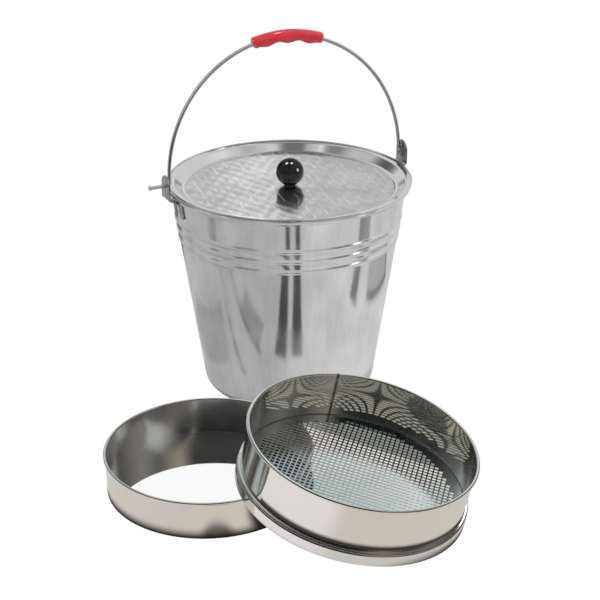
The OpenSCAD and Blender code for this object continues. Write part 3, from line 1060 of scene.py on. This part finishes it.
# A dark thing behind the pail on the left: direction, angular radius, how dark.
PAIL_SHADE = ((-0.78, 0.52, 0.35), 14.0, 0.88)

# The room round the ring and the sieve, laid out as PAIL_LOW_SKY is.
BACK_WALL = (0.50, 0.57, 0.58)
SIEVE_ROOM = (
    (0.00, BACK_WALL),
    (0.07, BACK_WALL),
    (0.13, (0.16, 0.16, 0.15)),
    (0.25, (0.03, 0.03, 0.035)),
    (0.40, (0.004, 0.005, 0.006)),
    (0.565, (0.004, 0.005, 0.006)),
    (0.61, (0.30, 0.27, 0.21)),
    (0.635, (0.22, 0.20, 0.165)),
    (0.68, (0.07, 0.068, 0.062)),
    (0.75, (0.20, 0.195, 0.185)),
    (0.87, (0.05, 0.05, 0.048)),
    (0.93, BACK_WALL),
    (1.00, BACK_WALL),
)
SIEVE_GLARE = ((0.35, 0.75, 0.555), 2.4, 1.0)

# The floor as steel mirrors it: a painted shadow spot (middle, radius, soft edge), and how near things
# darken it with painted contact shade.
PAINTED_SHADOW_SPOT = ((-0.076, -0.415), 0.012, 0.018)
CONTACT = 26 * MM
PAIL_REACH = 0.16

# The studio's dome and floor, and the shell between the pail's studio and the sieve's.
DOME_R = 4.0
FLOOR_HALF = 3.0
FLOOR_Z = -0.05 * MM
SHIELD_LOW_R = 0.137
SHIELD_HIGH_R = 0.292
SHIELD_H = 0.62


def lamp_mask(n, direction, lamp):
    """A lamp's brightness where a direction points at it, and 0 elsewhere."""
    towards, radius, strength = lamp
    aim = tuple(Vector(towards).normalized())
    near = math.cos(math.radians(radius))
    far = math.cos(math.radians(radius * 1.8))
    return n.times(n.smooth(n.dot(direction, aim), far, near), strength)


def pail_floor(n, direction, position, in_front):
    """The greys of the floor that the pail mirrors, where a ray through the shell would meet it."""
    x, y, z = n.split(direction)
    px, py, pz = n.split(position)
    reach = n.math("DIVIDE", pz, n.math("MAXIMUM", n.times(z, -1.0), 0.05))
    hit_x = n.plus(px, n.times(x, reach))
    hit_y = n.plus(py, n.times(y, reach))
    floor = n.smooth(x, -0.6, 0.6, 0.52, 0.72)
    cloud = n.noise(n.join(hit_x, hit_y, 0.0), 5.0, 2.0)
    floor = n.times(floor, n.smooth(cloud, 0.3, 0.7, 0.90, 1.08))
    for patch, depth in PAIL_FLOOR_PATCHES:
        dark = n.times(n.box_mask(hit_x, hit_y, patch), depth)
        floor = n.times(floor, n.minus(1.0, dark))
    far = n.smooth(n.length(hit_x, hit_y), 0.62, 0.80)
    return n.blend(n.times(in_front, far), floor, 0.08)


def pail_sky(n, direction, in_front):
    """The greys of the walls and the ceiling that the pail mirrors."""
    x, y, z = n.split(direction)
    low_sky = n.blend(in_front, n.ramp(n.around(x, y), PAIL_LOW_SKY), 0.06)
    high_sky = n.smooth(y, -0.5, 0.5, 0.55, 0.62)
    sky = n.blend(n.smooth(z, 0.24, 0.36), low_sky, high_sky)
    sky = n.blend(n.times(n.smooth(z, 0.08, 0.17), n.smooth(y, 0.1, 0.5)), sky, 0.68)
    ceiling = n.ramp(n.plus(n.times(x, 0.5), 0.5), PAIL_CEILING)
    sky = n.blend(n.smooth(z, 0.62, 0.78), sky, ceiling)
    return n.times(sky, n.minus(1.0, lamp_mask(n, direction, PAIL_SHADE)))


def pail_studio(n, direction, position, height, on_knob):
    """What the pail's own steel mirrors: a light floor with dark patches, grey walls and lamps overhead.

    Pieces over the rim also mirror a dark far floor and a dark strip of wall towards the camera.
    """
    y, z = n.split(direction)[1:]
    over_rim = n.times(n.smooth(height, PAIL_H - 3 * MM, PAIL_H - 1 * MM), n.minus(1.0, on_knob))
    in_front = n.times(over_rim, n.smooth(y, -0.25, -0.55))
    dim = n.blend(on_knob, 1.0, 0.4)
    floor = n.times(pail_floor(n, direction, position, in_front), dim)
    sky = n.times(pail_sky(n, direction, in_front), dim)
    for lamp in PAIL_LAMPS:
        sky = n.plus(sky, lamp_mask(n, direction, lamp))
    for lamp in KNOB_LAMPS:
        sky = n.plus(sky, n.times(lamp_mask(n, direction, lamp), on_knob))
    return n.blend(n.smooth(z, -0.02, 0.02), floor, sky)


def sieve_studio(n, direction, origin):
    """What the ring and the sieve mirror: a dark room towards the camera, a cool light wall behind."""
    x, y, z = n.split(direction)
    room = n.ramp(n.around(x, y), SIEVE_ROOM)
    top = n.mix(n.smooth(y, -0.3, 0.5), grey(0.10), grey(1.0))
    sky = n.mix(n.smooth(z, 0.72, 0.95), room, top)
    sky = n.mix(lamp_mask(n, direction, SIEVE_GLARE), sky, grey(2.2))
    below = n.mix(n.smooth(x, -0.75, -0.15), (0.90, 0.885, 0.86), (0.66, 0.635, 0.585))
    below = n.mix(n.smooth(x, 0.3, 0.8), below, (0.74, 0.72, 0.68))
    seen = n.mix(n.smooth(z, -0.02, 0.02), below, sky)
    white = n.times(straight_from_floor(n, origin), n.smooth(y, 0.0, 0.1))
    return n.mix(white, seen, grey(1.0))


def ray_facts(n):
    """The direction a ray travels, the point it hits and the point it came from."""
    geometry = n.add("ShaderNodeNewGeometry")
    length = n.ray("Ray Length")
    position = geometry.outputs["Position"]
    direction = n.vector("MULTIPLY", geometry.outputs["Incoming"], (-1.0, -1.0, -1.0))
    origin = n.vector("ADD", position, n.scaled(geometry.outputs["Incoming"], length))
    return direction, position, origin


def straight_from_floor(n, origin):
    """1 for a ray that the camera's view sends up from the floor's mirror."""
    low = n.below(n.split(origin)[2], 0.2 * MM)
    first = n.below(n.ray("Ray Depth"), 1.5)
    return n.times(low, first)


def stage_only(obj, material):
    """Gives a studio object its material. It is seen in reflections only."""
    obj.data.materials.append(material)
    material.cycles.emission_sampling = "NONE"
    obj.visible_camera = False
    obj.visible_diffuse = False
    obj.visible_shadow = False
    obj.visible_transmission = False


def build_dome():
    """A dome that only reflections see: the room round the ring and the sieve."""
    material, n = new_material("studio_dome")
    direction, position, origin = ray_facts(n)
    n.finish(n.add("ShaderNodeEmission", Color=sieve_studio(n, direction, origin)))
    outline = [(0, -DOME_R)] + arc((0, 0), DOME_R, -80, 80, 16) + [(0, DOME_R)]
    stage_only(lathe("studio_dome", outline, 48), material)


def build_shield():
    """A shell round the pail that only reflections see.

    Its inside shows the pail the pail's own studio. Its outside shows the ring and the sieve theirs.
    """
    material, n = new_material("studio_shield")
    direction, position, origin = ray_facts(n)
    x, y, z = n.split(origin)
    on_knob = n.times(n.disc_mask(x, y, LID_MIDDLE, KNOB_R, 0.5 * MM), n.above(z, KNOB_FLAT_Z))
    shell_r = n.plus(n.times(z, (SHIELD_HIGH_R - SHIELD_LOW_R) / SHIELD_H), SHIELD_LOW_R)
    inside = pail_studio(n, direction, position, z, on_knob)
    outside = sieve_studio(n, direction, origin)
    seen = n.mix(n.below(n.length(x, y), shell_r), outside, inside)
    n.finish(n.add("ShaderNodeEmission", Color=seen))
    foot = -2 * MM
    outline = [(0, foot), (SHIELD_LOW_R, foot), (SHIELD_HIGH_R, SHIELD_H), (0, SHIELD_H)]
    stage_only(lathe("studio_shield", outline, 96), material)


def seen_from(n, name):
    """The shaded point in the coordinates of a piece, which moves with its joint."""
    node = n.add("ShaderNodeTexCoord")
    node.object = bpy.data.objects[name]
    return node.outputs["Object"]


def through_plate(n):
    """1 where a ray came through the perforated plate, and where it crossed it, from the plate's middle."""
    local = n.vector("SUBTRACT", seen_from(n, "perforated_plate_visual"), (0.0, 0.0, PLATE_Z))
    from_plate = n.join(*[n.dot(local, row) for row in SIEVE_TURN.to_3x3()])
    incoming = n.add("ShaderNodeNewGeometry").outputs["Incoming"]
    steps = n.math("DIVIDE", n.dot(from_plate, -SIEVE_AXIS), n.dot(incoming, SIEVE_AXIS))
    crossing = n.vector("ADD", from_plate, n.scaled(incoming, steps))
    inside = n.below(n.vector("LENGTH", crossing), FOOT_R)
    length = n.ray("Ray Length")
    on_the_way = n.times(n.above(steps, 0.0), n.below(steps, length))
    x, y = n.split(crossing)[:2]
    return n.times(inside, on_the_way), x, y


def floor_in_steel(n, position, origin, through):
    """What steel mirrors of the floor: warm light, with painted shade near the sieve's foot and where
    things stand, painted shadows under the sieve and at a spot, and a painted lighter patch for the sieve.
    """
    x, y = n.split(position)[:2]
    length = n.ray("Ray Length")
    # Painted contact shade: the floor goes dark where the steel that mirrors it is near, for the pail's
    # rays too.
    contact = n.smooth(length, 0.0, CONTACT)
    warm = n.mix(n.smooth(x, -0.25, 0.0), (0.68, 0.645, 0.60), (0.65, 0.62, 0.56))
    # A painted shadow spot, and a painted shadow under the sieve.
    warm = n.mix(n.times(n.disc_mask(x, y, *PAINTED_SHADOW_SPOT), 0.8), warm, grey(0.02))
    under_sieve = n.disc_mask(x, y, SIEVE_BASE, SKIRT_R * 0.78, 20 * MM)
    warm = n.mix(n.times(under_sieve, 0.97), warm, grey(0.01))
    from_base = n.vector("SUBTRACT", origin, tuple(SIEVE_BASE))
    height = n.dot(from_base, SIEVE_AXIS)
    away = n.vector("LENGTH", from_base)
    # Painted light: rays from the sieve's side see the floor left of the middle lighter.
    on_sieve = n.times(n.below(away, SKIRT_R + 22 * MM), n.smooth(height, 1 * MM, 3 * MM))
    warm = n.mix(n.times(on_sieve, n.smooth(x, 0.05, -0.02)), warm, (0.82, 0.80, 0.77))
    # Painted shade by the sieve's foot: rays from its low wall see the floor dark.
    foot = n.times(n.smooth(height, 27 * MM, 21 * MM), n.smooth(height, 13 * MM, 15 * MM))
    foot = n.times(foot, n.below(away, SKIRT_R + 2 * MM))
    warm = n.mix(n.times(foot, 0.95), warm, grey(0.01))
    # Painted shade under the plate: rays through it see a dim olive floor.
    seen = n.mix(through, n.mix(contact, grey(0.01), warm), (0.37, 0.365, 0.29))
    origin_x, origin_y = n.split(origin)[:2]
    from_pail = n.below(n.length(origin_x, origin_y), PAIL_REACH)
    return n.mix(from_pail, seen, n.mix(contact, grey(0.05), grey(0.5)))


def floor_through_holes(n, plate_x, plate_y, on_ring):
    """What the camera sees through the sieve's holes: painted light and shade of the floor under the plate,
    cool in front, light behind, a darker band further back, and black over the ring.
    """
    seen = n.mix(n.smooth(plate_y, -0.05, 0.06), (0.52, 0.60, 0.58), (0.80, 0.77, 0.75))
    # Painted shade: a darker band at the back of the plate.
    back = n.smooth(n.plus(plate_y, n.times(plate_x, 0.28)), 0.075, 0.085)
    seen = n.mix(back, seen, (0.30, 0.32, 0.31))
    # Painted shade: black where the ring lies under the holes.
    return n.mix(on_ring, seen, grey(0.004))


def build_floor():
    """The floor: white to the camera, with a mirror inside the ring, which moves with it.

    Reflections see warm light and painted shade on it, and through the sieve's holes it shows painted light
    and shade.
    """
    material, n = new_material("studio_floor")
    direction, position, origin = ray_facts(n)
    ring_x, ring_y = n.split(seen_from(n, "ring_band_visual"))[:2]
    in_ring = n.disc_mask(ring_x, ring_y, (0.0, 0.0), RING_WALL_R - SHEET, 0.1 * MM)
    # on_ring is where the holes show black painted shade over the ring.
    on_ring = n.disc_mask(ring_x, ring_y, (0.0, 0.0), RING_WALL_R + 2 * MM, 2 * MM)
    through, plate_x, plate_y = through_plate(n)
    to_camera = n.mix(through, grey(1.0), floor_through_holes(n, plate_x, plate_y, on_ring))
    to_steel = floor_in_steel(n, position, origin, through)
    glossy = n.ray("Is Glossy Ray")
    plain = n.add("ShaderNodeEmission", Color=n.mix(glossy, to_camera, to_steel))
    mirror = n.add("ShaderNodeBsdfGlossy", Color=grey(0.95), Roughness=0.03)
    mixed = n.add("ShaderNodeMixShader", Fac=n.times(in_ring, n.minus(1.0, through)))
    n.tree.links.new(plain.outputs[0], mixed.inputs[1])
    n.tree.links.new(mirror.outputs[0], mixed.inputs[2])
    n.finish(mixed)
    material.cycles.emission_sampling = "NONE"
    corners = [(x * FLOOR_HALF, y * FLOOR_HALF, FLOOR_Z) for x, y in ((-1, -1), (1, -1), (1, 1), (-1, 1))]
    floor = new_object("studio_floor", corners, [(0, 1, 2, 3)])
    floor.data.materials.append(material)


def build_world():
    """White to the camera. Matt surfaces get light from above and a little less from below."""
    world = bpy.data.worlds.new("studio")
    bpy.context.scene.world = world
    n = Nodes(world)
    z = n.split(n.add("ShaderNodeTexCoord").outputs["Generated"])[2]
    light = n.mix(n.smooth(z, -0.4, 0.9), grey(0.45), grey(1.35))
    to_camera = n.ray("Is Camera Ray")
    shader = n.add("ShaderNodeBackground", Color=n.mix(to_camera, light, grey(1.0)))
    out = n.add("ShaderNodeOutputWorld")
    n.tree.links.new(shader.outputs[0], out.inputs[0])


CAMERA_PLACE = (0.0153, -1.7465, 0.8975)
CAMERA_DIP = 24.16
CAMERA_LENS = 84


def build_camera():
    """The camera in front, looking down at the set."""
    data = bpy.data.cameras.new("camera")
    data.lens = CAMERA_LENS
    data.sensor_width = 36
    camera = bpy.data.objects.new("camera", data)
    bpy.context.scene.collection.objects.link(camera)
    camera.location = CAMERA_PLACE
    camera.rotation_euler = (math.radians(90 - CAMERA_DIP), 0, 0)
    bpy.context.scene.camera = camera


# -------------------- the scene

build_pail()
build_ear("left_ear", 180)
build_ear("right_ear", 0)
build_rivets("left_ear_rivets", 180)
build_rivets("right_ear_rivets", 0)
build_bail()
build_lid()
build_knob()
build_ring()
build_sieve()
build_dome()
build_shield()
build_floor()
build_world()
build_camera()

bpy.context.scene.view_settings.view_transform = "Standard"

bpy.context.view_layer.update()
